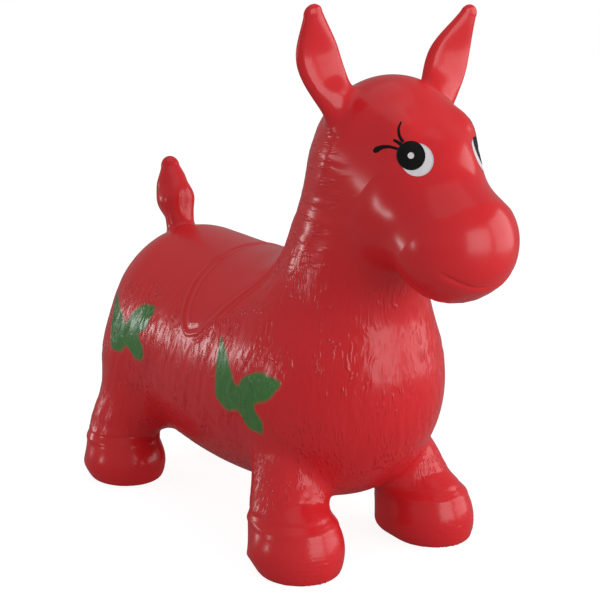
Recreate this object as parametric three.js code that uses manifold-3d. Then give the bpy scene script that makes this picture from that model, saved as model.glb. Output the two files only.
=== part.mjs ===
// Bouncy hopper in the shape of a horse: an air-filled vinyl skin on four stub legs,
// with two ears that bend where they are held, a tail that bends, and a belly valve with its stopper.
// Millimetres. +X is forward, +Y the horse's left, +Z up. The soles stand on z = 0.
import * as THREE from "three";
import { mergeVertices } from "three/addons/utils/BufferGeometryUtils.js";
import Module from "manifold-3d";

const wasm = await Module();
wasm.setup();

// Skin
const SKIN_WALL = 3.2; // vinyl left on the mould
const GAP = 0.3; // clearance between pieces that touch
const FILM = 0.7; // thickness of a painted patch
const ROOT_GAP = 0.7; // clearance round the ball at the root of an ear or the tail

// Torso
const CHEST_X = 108;
const TRUNK_LENGTH = 250; // from the middle of the chest back to the middle of the rump
const RUMP_X = CHEST_X - TRUNK_LENGTH;
const RUMP_TOP = 282;
const RUMP_BOTTOM = 60;
const RUMP_WIDTH = 206;
const RUMP_DOME = 103; // reach of the rounded end behind RUMP_X
const SEAT_SET = 124; // lowest part of the seat, behind the middle of the chest
const SEAT_X = CHEST_X - SEAT_SET;
const SEAT_HEIGHT = 272;
const BELLY_HEIGHT = 52; // clearance under the barrel
const BARREL_WIDTH = 208;
const CHEST_TOP = 288;
const CHEST_BOTTOM = 56;
const CHEST_WIDTH = 210;
const CHEST_DOME = 114; // reach of the rounded end ahead of CHEST_X

// Stance, at the middle of each sole
const FRONT_HOOF_SET = 50; // ahead of the middle of the chest
const REAR_HOOF_SET = 37; // behind the middle of the rump
const FRONT_HOOF_X = CHEST_X + FRONT_HOOF_SET;
const REAR_HOOF_X = RUMP_X - REAR_HOOF_SET;
const FRONT_TRACK = 164;
const REAR_TRACK = 164;

// Saddle, a moulded ridge round the seat
const SADDLE_LENGTH = 138;
const SADDLE_WIDTH = 186;
const SADDLE_SET = 32; // the saddle's middle lies this far ahead of the seat's lowest place
const SADDLE_X = SEAT_X + SADDLE_SET;
const RIDGE_WIDTH = 4;
const RIDGE_HEIGHT = 1.4;

// Neck
const NECK_SET = 20; // the neck's foot lies this far ahead of the chest
const NECK_SINK = 63; // and this far below its top
const NECK_FOOT_X = CHEST_X + NECK_SET;
const NECK_FOOT_Z = CHEST_TOP - NECK_SINK;
const NECK_FOOT_WIDTH = 146;
const NECK_FOOT_DEPTH = 156;
const NECK_RISE = 131;
const NECK_LEAN = 40; // the top of the neck stands this far ahead of its foot
const NECK_TOP_X = NECK_FOOT_X + NECK_LEAN;
const NECK_TOP_Z = NECK_FOOT_Z + NECK_RISE;
const NECK_TOP_WIDTH = 122;
const NECK_TOP_DEPTH = 130;
const NECK_DOME = 70; // rounded top of the neck, inside the back of the head

// Head
const CROWN_REACH = 22;
const CROWN_RISE = 40;
const CROWN_X = NECK_TOP_X + CROWN_REACH;
const CROWN_Z = NECK_TOP_Z + CROWN_RISE;
const CROWN_WIDTH = 138;
const CROWN_DEPTH = 134;
const FACE_REACH = 42;
const FACE_DROP = 26;
const FACE_X = CROWN_X + FACE_REACH;
const FACE_Z = CROWN_Z - FACE_DROP;
const FACE_WIDTH = 124;
const FACE_DEPTH = 124;
const FACE_DOME = 54;

// Muzzle
const MUZZLE_REACH = 49;
const MUZZLE_DROP = 48;
const MUZZLE_X = FACE_X + MUZZLE_REACH;
const MUZZLE_Z = FACE_Z - MUZZLE_DROP;
const MUZZLE_WIDTH = 116;
const MUZZLE_DEPTH = 108;
const MUZZLE_DOME = 52;
const MUZZLE_ROOT_WIDTH = 98;
const MUZZLE_ROOT_DEPTH = 84;
const MOUTH_DROP = 34;
const MOUTH_Z = MUZZLE_Z - MOUTH_DROP; // height of the lip line at the front
const MOUTH_RISE = 15; // the corners turn up by this much
const MOUTH_WIDTH = 92;
const MOUTH_CREASE = 1.8; // depth of the moulded lip line
const LIP_LINE = 2.6; // width of it

// Legs and hooves
const HIP_Z = 118;
const HIP_WIDTH = 86;
const HIP_LENGTH = 96;
const FRONT_STRIDE = 34; // a hoof stands this far ahead of its hip, or behind it at the rear
const REAR_STRIDE = 20;
const SPLAY = 30; // a hoof stands this far outside its hip
const ANKLE_WIDTH = 74;
const ANKLE_LENGTH = 82;
const HOOF_HEIGHT = 50;
const HOOF_WIDTH = 88;
const HOOF_LENGTH = 100;
const SOLE_WIDTH = 66;
const SOLE_LENGTH = 76;
const SOLE_EDGE = 17; // height of the widest part of the hoof
const CUFF_HEIGHT = 7; // moulded band round the top of the hoof
const CUFF_LIP = 2.5; // how far the band stands out

// Ears
// Each place along an ear stands behind the crown, out to the side and above the crown by these lengths.
const EAR_ROOT_SET = 1;
const EAR_ROOT_SPREAD = 53;
const EAR_ROOT_RISE = 34;
const EAR_MIDDLE_SET = 6;
const EAR_MIDDLE_SPREAD = 78;
const EAR_MIDDLE_RISE = 88;
const EAR_TIP_SET = -6;
const EAR_TIP_SPREAD = 88;
const EAR_TIP_RISE = 125;
const EAR_ROOT = [CROWN_X - EAR_ROOT_SET, EAR_ROOT_SPREAD, CROWN_Z + EAR_ROOT_RISE];
const EAR_MIDDLE = [CROWN_X - EAR_MIDDLE_SET, EAR_MIDDLE_SPREAD, CROWN_Z + EAR_MIDDLE_RISE];
const EAR_TIP = [CROWN_X - EAR_TIP_SET, EAR_TIP_SPREAD, CROWN_Z + EAR_TIP_RISE];
const EAR_WIDTH = 44;
const EAR_THICK = 19;
const EAR_STEM = 30; // width where the ear leaves the head
const EAR_POINT = 0.28; // share of the width and thickness left at the tip
const EAR_TURN = 10; // degrees, cup faces forward and inward
const EAR_CUP = 5; // depth of the hollow in the ear's face
const EAR_ROOT_RADIUS = 14;
const EAR_SWING = 20; // degrees each way that the root leaves clear

// Tail
// Each place along the tail stands behind the rump and above its top by these lengths.
const TAIL_ROOT_SET = 38;
const TAIL_ROOT_RISE = -16;
const TAIL_MIDDLE_SET = 54;
const TAIL_MIDDLE_RISE = 30;
const TAIL_TIP_SET = 63;
const TAIL_TIP_RISE = 73;
const TAIL_ROOT = [RUMP_X - TAIL_ROOT_SET, 0, RUMP_TOP + TAIL_ROOT_RISE];
const TAIL_MIDDLE = [RUMP_X - TAIL_MIDDLE_SET, 0, RUMP_TOP + TAIL_MIDDLE_RISE];
const TAIL_TIP = [RUMP_X - TAIL_TIP_SET, 0, RUMP_TOP + TAIL_TIP_RISE];
const TAIL_WIDTH = 34;
const TAIL_STEM = 22;
const TAIL_ROOT_RADIUS = 14;
const TAIL_SWING = 20;

// Valve in the belly
const VALVE_X = SEAT_X;
const VALVE_PAD = 44; // diameter of the thickened skin round the valve
const VALVE_PAD_THICK = 7;
const VALVE_PAD_DROP = 1.2; // flat underside of the pad, below the belly
const VALVE_BOSS = 19; // diameter of the seat's barrel
const VALVE_LENGTH = 15;
const VALVE_FLANGE = 30;
const VALVE_FLANGE_THICK = 2;
const VALVE_BORE = 9;
const PLUG_LENGTH = 17;
const PLUG_HEAD = 20;
const PLUG_HEAD_THICK = 3;

// Face paint: places are measured from the middle of the pupil
const EYE_X = FACE_X + 37;
const EYE_Y = 40;
const EYE_Z = FACE_Z + 27;
const EYE_TURN = 35; // degrees from straight ahead
const PUPIL_RADIUS = 12.5;
const GLINT_RADIUS = 2.6;
const WHITE_WIDTH = 32;
const WHITE_HEIGHT = 36;
const WHITE_SHIFT = [4, -4.5]; // toward the nose and down
const LASH_THICK = 2.2;
const BACK_LASH = 24; // lengths beyond the lid line
const SHORT_LASH = 9;
const TOP_LASH = 19;

// Sprayed spots, a plain butterfly seen from the side
const SPOT_WIDTH = 96;
const SPOT_HEIGHT = 80;
const SHOULDER_SPOT_X = CHEST_X - 4;
const SHOULDER_SPOT_Z = 166;
const FLANK_SPOT_X = RUMP_X + 30;
const FLANK_SPOT_Z = 186;
const FLANK_SPOT_SCALE = 0.8;

const vinyl = new THREE.MeshStandardMaterial({ color: 0xc02a33, roughness: 0.35, metalness: 0 });
const greenPaint = new THREE.MeshStandardMaterial({ color: 0x3f6b37, roughness: 0.5, metalness: 0 });
const blackPaint = new THREE.MeshStandardMaterial({ color: 0x0d0d0f, roughness: 0.3, metalness: 0 });
const whitePaint = new THREE.MeshStandardMaterial({ color: 0xe6dfe0, roughness: 0.4, metalness: 0 });
const whitePlastic = new THREE.MeshStandardMaterial({ color: 0xe8e6e0, roughness: 0.45, metalness: 0 });

const SIDES = [
  { name: "left", y: 1 },
  { name: "right", y: -1 },
];
const ENDS = [
  { name: "front", x: FRONT_HOOF_X, track: FRONT_TRACK, hipX: FRONT_HOOF_X - FRONT_STRIDE },
  { name: "rear", x: REAR_HOOF_X, track: REAR_TRACK, hipX: REAR_HOOF_X + REAR_STRIDE },
];
const radians = (degrees) => (degrees * Math.PI) / 180;
const between = (low, high) => (low + high) / 2;
const vector = (place) => new THREE.Vector3(...place);
const onSide = (place, side) => [place[0], place[1] * side.y, place[2]];

// Solids

function solidOf(geometry) {
  const source = geometry.index ? geometry.toNonIndexed() : geometry;
  const bare = new THREE.BufferGeometry();
  bare.setAttribute("position", source.getAttribute("position"));
  const merged = mergeVertices(bare, 1e-3);
  const corners = merged.index.array;
  const triangles = [];
  for (let i = 0; i < corners.length; i += 3) {
    const [a, b, c] = [corners[i], corners[i + 1], corners[i + 2]];
    if (a !== b && b !== c && c !== a) triangles.push(a, b, c);
  }
  const mesh = new wasm.Mesh({
    numProp: 3,
    vertProperties: merged.attributes.position.array,
    triVerts: new Uint32Array(triangles),
  });
  return new wasm.Manifold(mesh);
}

function geometryOf(solid) {
  const { vertProperties, triVerts } = solid.getMesh();
  const geometry = new THREE.BufferGeometry();
  geometry.setAttribute("position", new THREE.BufferAttribute(vertProperties, 3));
  geometry.setIndex(new THREE.BufferAttribute(triVerts, 1));
  geometry.computeVertexNormals();
  return geometry;
}

// A closed swelling tube: elliptical rings along a smooth spine through the form's stations.
// A station has its place, its full width along the form's side axis and its full depth across that.
// An end with a dome is rounded off over that length, and an end without one is flat.
function swellGeometry(form, grow, detail) {
  const sides = Math.round(form.sides * detail);
  const rings = Math.round(form.rings * detail);
  const domeRings = Math.max(3, Math.round(5 * detail));
  const sideAxis = vector(form.side ?? [0, 1, 0]);
  const spine = new THREE.CatmullRomCurve3(form.stations.map((s) => vector(s.at)));
  const girth = new THREE.CatmullRomCurve3(
    form.stations.map((s) => new THREE.Vector3(s.width / 2 + grow, s.depth / 2 + grow, 0)),
  );
  const points = [];
  const addRing = (u, along, shrink) => {
    const tangent = spine.getTangent(u);
    const across = sideAxis.clone().addScaledVector(tangent, -tangent.dot(sideAxis)).normalize();
    const out = new THREE.Vector3().crossVectors(tangent, across);
    const centre = spine.getPoint(u).addScaledVector(tangent, along);
    const half = girth.getPoint(u).multiplyScalar(shrink);
    for (let i = 0; i < sides; i++) {
      const angle = (2 * Math.PI * i) / sides;
      const rim = centre.clone().addScaledVector(across, half.x * Math.cos(angle));
      points.push(rim.addScaledVector(out, half.y * Math.sin(angle)));
    }
  };
  const startDome = form.startDome ? form.startDome + grow : 0;
  const endDome = form.endDome ? form.endDome + grow : 0;
  for (let k = domeRings - 1; startDome && k > 0; k--) {
    const angle = radians((90 * k) / domeRings);
    addRing(0, -startDome * Math.sin(angle), Math.cos(angle));
  }
  for (let k = 0; k <= rings; k++) addRing(k / rings, 0, 1);
  for (let k = 1; endDome && k < domeRings; k++) {
    const angle = radians((90 * k) / domeRings);
    addRing(1, endDome * Math.sin(angle), Math.cos(angle));
  }
  const index = [];
  const last = points.length - sides;
  for (let a = 0; a < last; a++) {
    const b = (a + 1) % sides ? a + 1 : a + 1 - sides;
    index.push(a, b, b + sides, a, b + sides, a + sides);
  }
  const start = points.push(spine.getPoint(0).addScaledVector(spine.getTangent(0), -startDome)) - 1;
  const end = points.push(spine.getPoint(1).addScaledVector(spine.getTangent(1), endDome)) - 1;
  for (let i = 0; i < sides; i++) {
    const next = (i + 1) % sides;
    index.push(start, next, i, end, last + i, last + next);
  }
  const geometry = new THREE.BufferGeometry().setFromPoints(points);
  geometry.setIndex(index);
  return geometry;
}

const swell = (form, grow = 0, detail = 1) => solidOf(swellGeometry(form, grow, detail));

// All the room a form takes up while it is turned about a line, as a list of solids.
const turnedAbout = (form, grow, place, axis, swing) =>
  [-1, -2 / 3, -1 / 3, 0, 1 / 3, 2 / 3, 1].map((share) => {
    const geometry = swellGeometry(form, grow, 1).translate(-place[0], -place[1], -place[2]);
    const turn = new THREE.Matrix4().makeRotationAxis(axis, radians(swing * share));
    return solidOf(geometry.applyMatrix4(turn).translate(...place));
  });

const ball = (place, radius) => {
  const geometry = new THREE.SphereGeometry(radius, 16, 10);
  return solidOf(geometry.translate(...place));
};

// A turned piece about a vertical line, from a closed profile of [radius, height] points.
const turned = (profile, place) => {
  const points = profile.map(([radius, height]) => new THREE.Vector2(radius, height));
  const geometry = new THREE.LatheGeometry(points, 24);
  return solidOf(geometry.rotateX(Math.PI / 2).translate(...place));
};

// A prism through `place` along `outward`, from an outline drawn forward and up.
// Seen from outside the horse's left the outline is turned over, so both sides point forward.
const stencil = (outline, place, outward, reach) => {
  const up = new THREE.Vector3(0, 0, 1);
  const across = new THREE.Vector3().crossVectors(up, outward).normalize();
  const rise = new THREE.Vector3().crossVectors(outward, across);
  const forward = outward.y < 0 ? 1 : -1;
  const shape = new THREE.Shape(outline.map(([x, y]) => new THREE.Vector2(forward * x, y)));
  const geometry = new THREE.ExtrudeGeometry(shape, { depth: 2 * reach, bevelEnabled: false });
  const turn = new THREE.Matrix4().makeBasis(across, rise, outward).setPosition(vector(place));
  return solidOf(geometry.translate(0, 0, -reach).applyMatrix4(turn));
};

const ellipse = (width, height, [x, y] = [0, 0], steps = 18) =>
  Array.from({ length: steps }, (_, i) => {
    const angle = (2 * Math.PI * i) / steps;
    return [x + (width / 2) * Math.cos(angle), y + (height / 2) * Math.sin(angle)];
  });

// A tapered stroke along a curve through the points.
const stroke = (through, thick, steps = 6) => {
  const curve = new THREE.SplineCurve(through.map(([x, y]) => new THREE.Vector2(x, y)));
  const left = [];
  const right = [];
  for (let k = 0; k <= steps; k++) {
    const at = curve.getPoint(k / steps);
    const tangent = curve.getTangent(k / steps);
    const half = (thick / 2) * (1 - (0.75 * k) / steps);
    left.push([at.x - tangent.y * half, at.y + tangent.x * half]);
    right.unshift([at.x + tangent.y * half, at.y - tangent.x * half]);
  }
  return [...left, ...right];
};

// A smooth closed outline through points given as shares of a width and a height.
const outlineThrough = (shares, width, height, steps) => {
  const curve = new THREE.CatmullRomCurve3(
    shares.map(([x, y]) => new THREE.Vector3(x * width, y * height, 0)),
    true,
  );
  return curve.getPoints(steps).slice(0, steps).map((p) => [p.x, p.y]);
};

// Body forms

const station = (at, width, depth) => ({ at, width, depth });

const torsoForm = {
  stations: [
    station([RUMP_X, 0, between(RUMP_BOTTOM, RUMP_TOP)], RUMP_WIDTH, RUMP_TOP - RUMP_BOTTOM),
    station([SEAT_X, 0, between(BELLY_HEIGHT, SEAT_HEIGHT)], BARREL_WIDTH, SEAT_HEIGHT - BELLY_HEIGHT),
    station([CHEST_X, 0, between(CHEST_BOTTOM, CHEST_TOP)], CHEST_WIDTH, CHEST_TOP - CHEST_BOTTOM),
  ],
  startDome: RUMP_DOME,
  endDome: CHEST_DOME,
  rings: 10,
  sides: 28,
};

const neckForm = {
  stations: [
    station([NECK_FOOT_X, 0, NECK_FOOT_Z], NECK_FOOT_WIDTH, NECK_FOOT_DEPTH),
    station([NECK_TOP_X, 0, NECK_TOP_Z], NECK_TOP_WIDTH, NECK_TOP_DEPTH),
  ],
  endDome: NECK_DOME,
  rings: 5,
  sides: 24,
};

const headForm = {
  stations: [
    station([CROWN_X, 0, CROWN_Z], CROWN_WIDTH, CROWN_DEPTH),
    station([FACE_X, 0, FACE_Z], FACE_WIDTH, FACE_DEPTH),
  ],
  startDome: CROWN_DEPTH / 2,
  endDome: FACE_DOME,
  rings: 3,
  sides: 28,
};

const muzzleForm = {
  stations: [
    station([FACE_X, 0, FACE_Z], MUZZLE_ROOT_WIDTH, MUZZLE_ROOT_DEPTH),
    station([MUZZLE_X, 0, MUZZLE_Z], MUZZLE_WIDTH, MUZZLE_DEPTH),
  ],
  endDome: MUZZLE_DOME,
  rings: 4,
  sides: 24,
};

// The leg runs on past the top of the hoof, where it is trimmed flat.
const legForm = (end, side) => {
  const y = (side.y * end.track) / 2;
  return {
    stations: [
      station([end.hipX, y - side.y * SPLAY, HIP_Z], HIP_WIDTH, HIP_LENGTH),
      station([end.x, y, HOOF_HEIGHT], ANKLE_WIDTH, ANKLE_LENGTH),
      station([end.x, y, SOLE_EDGE], ANKLE_WIDTH, ANKLE_LENGTH),
    ],
    rings: 4,
    sides: 20,
  };
};

const hoofForm = (end, side, top, bottom) => {
  const y = (side.y * end.track) / 2;
  return {
    stations: [
      station([end.x, y, top], ANKLE_WIDTH, ANKLE_LENGTH),
      station([end.x, y, SOLE_EDGE], HOOF_WIDTH, HOOF_LENGTH),
      station([end.x, y, bottom], SOLE_WIDTH, SOLE_LENGTH),
    ],
    rings: 5,
    sides: 20,
  };
};

const cuffForm = (end, side) => {
  const y = (side.y * end.track) / 2;
  const width = ANKLE_WIDTH + 2 * CUFF_LIP;
  const length = ANKLE_LENGTH + 2 * CUFF_LIP;
  return {
    stations: [
      station([end.x, y, HOOF_HEIGHT - GAP], width, length),
      station([end.x, y, HOOF_HEIGHT - CUFF_HEIGHT], width, length),
    ],
    rings: 1,
    sides: 20,
  };
};

const earForm = (side) => {
  const turn = radians(EAR_TURN);
  return {
    stations: [
      station(onSide(EAR_ROOT, side), EAR_STEM, EAR_THICK),
      station(onSide(EAR_MIDDLE, side), EAR_WIDTH, EAR_THICK),
      station(onSide(EAR_TIP, side), EAR_WIDTH * EAR_POINT, EAR_THICK * EAR_POINT),
    ],
    side: [Math.sin(turn), Math.cos(turn) * side.y, 0],
    rings: 7,
    sides: 14,
  };
};

// The hollow of the ear lies ahead of the ear's middle, and ends before its root and its tip.
const earCupForm = (side) => {
  const turn = radians(EAR_TURN);
  const ahead = new THREE.Vector3(Math.cos(turn), -side.y * Math.sin(turn), 0);
  const [root, middle, tip] = [EAR_ROOT, EAR_MIDDLE, EAR_TIP].map((place) => vector(onSide(place, side)));
  const cupStation = (at, width) =>
    station(at.clone().addScaledVector(ahead, EAR_THICK - EAR_CUP).toArray(), width, EAR_THICK);
  return {
    stations: [
      cupStation(root.clone().lerp(middle, 0.55), EAR_STEM * 0.4),
      cupStation(middle, EAR_WIDTH * 0.64),
      cupStation(middle.clone().lerp(tip, 0.75), EAR_WIDTH * 0.2),
    ],
    side: [Math.sin(turn), Math.cos(turn) * side.y, 0],
    startDome: EAR_STEM / 3,
    endDome: EAR_STEM / 4,
    rings: 4,
    sides: 12,
  };
};

const tailForm = {
  stations: [
    station(TAIL_ROOT, TAIL_STEM, TAIL_STEM),
    station(TAIL_MIDDLE, TAIL_WIDTH, TAIL_WIDTH * 0.8),
    station(TAIL_TIP, TAIL_WIDTH * 0.3, TAIL_WIDTH * 0.3),
  ],
  rings: 7,
  sides: 14,
};

// Painted patches and moulded lines

const filmOn = (form) => swell(form, GAP + FILM).subtract(swell(form, GAP));

const butterfly = outlineThrough(
  [
    [-0.5, 0.5],
    [-0.24, 0.2],
    [-0.04, 0.02],
    [0.16, 0.24],
    [0.5, 0.36],
    [0.44, 0.08],
    [0.16, -0.1],
    [0.24, -0.34],
    [0.06, -0.5],
    [-0.06, -0.28],
    [-0.34, -0.46],
    [-0.4, -0.2],
    [-0.32, 0.1],
  ],
  1,
  1,
  39,
);
const spotOutline = (scale) => butterfly.map(([x, y]) => [x * SPOT_WIDTH * scale, y * SPOT_HEIGHT * scale]);

// The ridge bulges round the flaps of the saddle and runs straight across its back.
const saddleOutline = (inset) =>
  outlineThrough(
    [
      [-0.5, 0],
      [-0.5, 0.3],
      [-0.4, 0.45],
      [-0.16, 0.5],
      [0.2, 0.47],
      [0.46, 0.42],
      [0.5, 0.32],
      [0.44, 0],
      [0.5, -0.32],
      [0.46, -0.42],
      [0.2, -0.47],
      [-0.16, -0.5],
      [-0.4, -0.45],
      [-0.5, -0.3],
    ],
    SADDLE_LENGTH - 2 * inset,
    SADDLE_WIDTH - 2 * inset,
    42,
  );
const uprightPrism = (outline, x, low, high) => {
  const shape = new THREE.Shape(outline.map(([px, py]) => new THREE.Vector2(px, py)));
  const geometry = new THREE.ExtrudeGeometry(shape, { depth: high - low, bevelEnabled: false });
  return solidOf(geometry.translate(x, 0, low));
};
const saddleLow = between(BELLY_HEIGHT, SEAT_HEIGHT);
const saddleHigh = Math.max(RUMP_TOP, SEAT_HEIGHT, CHEST_TOP) + RIDGE_HEIGHT + GAP;
const saddleRing = uprightPrism(saddleOutline(0), SADDLE_X, saddleLow, saddleHigh).subtract(
  uprightPrism(saddleOutline(RIDGE_WIDTH), SADDLE_X, saddleLow - GAP, saddleHigh + GAP),
);

// The lip line rises to both corners like a smile, seen from the front.
const lipLine = (steps) => {
  const low = [];
  const high = [];
  for (let k = 0; k <= steps; k++) {
    const share = (2 * k) / steps - 1;
    const y = (share * MOUTH_WIDTH) / 2;
    const z = MOUTH_RISE * share * share;
    low.push([y, z - LIP_LINE / 2]);
    high.unshift([y, z + LIP_LINE / 2]);
  }
  return [...low, ...high];
};

// The lashes grow from a lid line round the top and back of the pupil.
const lidRadius = PUPIL_RADIUS + GAP + LASH_THICK / 2;
const lidPoint = (degrees, out = 0) => [
  (lidRadius + out) * Math.cos(radians(degrees)),
  (lidRadius + out) * Math.sin(radians(degrees)),
];
const lidLine = stroke([lidPoint(102), lidPoint(125), lidPoint(147), lidPoint(170)], LASH_THICK, 10);
const lashes = [
  [lidPoint(155), lidPoint(163, BACK_LASH / 2), lidPoint(172, BACK_LASH)],
  [lidPoint(135), lidPoint(132, SHORT_LASH / 2), lidPoint(128, SHORT_LASH)],
  [lidPoint(115), lidPoint(112, TOP_LASH / 2), lidPoint(104, TOP_LASH)],
];

const horse = new THREE.Group();
function add(name, solid, material) {
  const mesh = new THREE.Mesh(geometryOf(solid), material);
  mesh.name = name;
  horse.add(mesh);
}

const VOID_DETAIL = 0.6; // the inside of the skin needs fewer facets
const voidOf = (form) => swell(form, -SKIN_WALL, VOID_DETAIL);
const neckVoid = voidOf(neckForm);
const torsoOuter = swell(torsoForm);
const headOuter = swell(headForm);
const torsoCutter = swell(torsoForm, GAP);
const headCutter = swell(headForm, GAP);
const neckCutter = swell(neckForm, GAP);

// A bending root is a ball in a cup of the skin, and what stands above it clears the skin through its swing.
const cupWall = (place, radius, outer) => ball(place, radius + ROOT_GAP + SKIN_WALL).intersect(outer);
const bending = (blade, place, radius, axis, swing, against) => {
  const clear = turnedAbout(against, 2 * GAP, place, axis, swing);
  return clear.reduce((left, cutter) => left.subtract(cutter), blade).add(ball(place, radius));
};

// Torso with its openings to the neck and the legs, its valve pad and the socket of the tail

const padBottom = BELLY_HEIGHT - VALVE_PAD_DROP;
const valvePlace = [VALVE_X, 0, padBottom];
const pad = turned(
  [
    [0, 0],
    [VALVE_PAD / 2, 0],
    [VALVE_PAD / 2, VALVE_PAD_THICK],
    [0, VALVE_PAD_THICK],
  ],
  valvePlace,
);
const valveHole = turned(
  [
    [0, -GAP],
    [VALVE_FLANGE / 2 + GAP, -GAP],
    [VALVE_FLANGE / 2 + GAP, VALVE_FLANGE_THICK + GAP],
    [VALVE_BOSS / 2 + GAP, VALVE_FLANGE_THICK + GAP],
    [VALVE_BOSS / 2 + GAP, VALVE_PAD_THICK + GAP],
    [0, VALVE_PAD_THICK + GAP],
  ],
  valvePlace,
);
const saddleRidge = swell(torsoForm, RIDGE_HEIGHT)
  .subtract(swell(torsoForm, -GAP))
  .intersect(saddleRing)
  .subtract(neckCutter);
let torso = torsoOuter
  .subtract(voidOf(torsoForm))
  .add(saddleRidge)
  .add(cupWall(TAIL_ROOT, TAIL_ROOT_RADIUS, torsoOuter))
  .subtract(ball(TAIL_ROOT, TAIL_ROOT_RADIUS + ROOT_GAP))
  .add(pad)
  .subtract(valveHole)
  .subtract(neckVoid);

for (const end of ENDS) {
  for (const side of SIDES) {
    const name = `${end.name}_${side.name}`;
    const legVoid = voidOf(legForm(end, side));
    const floor = new THREE.BoxGeometry(4 * HOOF_LENGTH, 4 * HOOF_WIDTH, 2 * HOOF_HEIGHT);
    const leg = swell(legForm(end, side))
      .subtract(legVoid)
      .subtract(torsoCutter)
      .subtract(solidOf(floor.translate(end.x, (side.y * end.track) / 2, 0)));
    const hoof = swell(hoofForm(end, side, HOOF_HEIGHT - GAP, 0))
      .add(swell(cuffForm(end, side)))
      .subtract(voidOf(hoofForm(end, side, HOOF_HEIGHT + GAP, SKIN_WALL)))
      .subtract(legVoid);
    torso = torso.subtract(legVoid);
    add(`${name}_leg`, leg, vinyl);
    add(`${name}_hoof`, hoof, vinyl);
  }
}
add("torso_skin", torso, vinyl);
add("neck_skin", swell(neckForm).subtract(neckVoid).subtract(torsoCutter).subtract(headCutter), vinyl);

// Head, muzzle and ears

const earAxis = (side) => vector(earForm(side).side).normalize();
let head = headOuter.subtract(voidOf(headForm));
for (const side of SIDES) {
  const root = onSide(EAR_ROOT, side);
  head = head.add(cupWall(root, EAR_ROOT_RADIUS, headOuter)).subtract(ball(root, EAR_ROOT_RADIUS + ROOT_GAP));
  const blade = swell(earForm(side)).subtract(swell(earCupForm(side)));
  const ear = bending(blade, root, EAR_ROOT_RADIUS, earAxis(side), EAR_SWING, headForm);
  add(`${side.name}_ear`, ear, vinyl);
}
const muzzleVoid = voidOf(muzzleForm);
const ahead = new THREE.Vector3(1, 0, 0);
const lipStencil = stencil(lipLine(16), [MUZZLE_X + MUZZLE_DOME, 0, MOUTH_Z], ahead, MUZZLE_DOME);
const lipCut = swell(muzzleForm, GAP).subtract(swell(muzzleForm, -MOUTH_CREASE)).intersect(lipStencil);
add("head_skin", head.subtract(neckVoid).subtract(muzzleVoid), vinyl);
const muzzle = swell(muzzleForm).subtract(muzzleVoid).subtract(lipCut);
add("muzzle_skin", muzzle.subtract(headCutter).subtract(neckCutter), vinyl);
const tailAxis = new THREE.Vector3(0, 1, 0);
add("tail", bending(swell(tailForm), TAIL_ROOT, TAIL_ROOT_RADIUS, tailAxis, TAIL_SWING, torsoForm), vinyl);

// Valve

const seatBore = VALVE_BORE / 2;
const seatProfile = [
  [seatBore, 0],
  [VALVE_FLANGE / 2, 0],
  [VALVE_FLANGE / 2, VALVE_FLANGE_THICK],
  [VALVE_BOSS / 2, VALVE_FLANGE_THICK],
  [VALVE_BOSS / 2, VALVE_LENGTH],
  [seatBore, VALVE_LENGTH],
  [seatBore, 0],
];
const plugStem = VALVE_BORE / 2 - GAP;
const plugProfile = [
  [0, -GAP - PLUG_HEAD_THICK],
  [PLUG_HEAD / 2, -GAP - PLUG_HEAD_THICK],
  [PLUG_HEAD / 2, -GAP],
  [plugStem, -GAP],
  [plugStem, PLUG_LENGTH - plugStem / 2],
  [plugStem / 2, PLUG_LENGTH],
  [0, PLUG_LENGTH],
];
add("valve_seat", turned(seatProfile, valvePlace), vinyl);
add("valve_plug", turned(plugProfile, valvePlace), whitePlastic);

// Eyes and spots

const headFilm = filmOn(headForm);
const torsoFilm = filmOn(torsoForm);
const eyeTurn = radians(EYE_TURN);
const eyeReach = FACE_WIDTH / 4;
for (const side of SIDES) {
  const outward = new THREE.Vector3(Math.cos(eyeTurn), side.y * Math.sin(eyeTurn), 0);
  const place = onSide([EYE_X, EYE_Y, EYE_Z], side);
  const paint = (outline) => stencil(outline, place, outward, eyeReach);
  const disc = (radius) => paint(ellipse(2 * radius, 2 * radius));
  const lids = lashes.reduce((joined, lash) => joined.add(paint(stroke(lash, LASH_THICK))), paint(lidLine));
  const white = paint(ellipse(WHITE_WIDTH, WHITE_HEIGHT, WHITE_SHIFT)).subtract(disc(PUPIL_RADIUS + GAP));
  add(`${side.name}_eye_white`, headFilm.intersect(white), whitePaint);
  const pupil = disc(PUPIL_RADIUS).subtract(disc(GLINT_RADIUS + GAP));
  add(`${side.name}_eye_pupil`, headFilm.intersect(pupil), blackPaint);
  add(`${side.name}_eye_glint`, headFilm.intersect(disc(GLINT_RADIUS)), whitePaint);
  add(`${side.name}_eyelashes`, headFilm.intersect(lids), blackPaint);

  const flank = new THREE.Vector3(0, side.y, 0);
  const flankY = (side.y * BARREL_WIDTH) / 2;
  const spot = (x, z, scale) =>
    torsoFilm.intersect(stencil(spotOutline(scale), [x, flankY, z], flank, BARREL_WIDTH / 3));
  add(`${side.name}_shoulder_spot`, spot(SHOULDER_SPOT_X, SHOULDER_SPOT_Z, 1), greenPaint);
  add(`${side.name}_flank_spot`, spot(FLANK_SPOT_X, FLANK_SPOT_Z, FLANK_SPOT_SCALE), greenPaint);
}

// The frame's origin is on the floor under the middle of the horse's length.
const box = new THREE.Box3().setFromObject(horse);
for (const mesh of horse.children) mesh.geometry.translate(-between(box.min.x, box.max.x), 0, 0);

export default horse;
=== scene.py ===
"""Looks of the horse hopper: one blown vinyl skin, its printed eyes, sprayed spots and belly valve.

The skin is worked out as one smooth field in millimetres, turned into a mesh and then divided
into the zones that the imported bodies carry.
"""
import math

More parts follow.
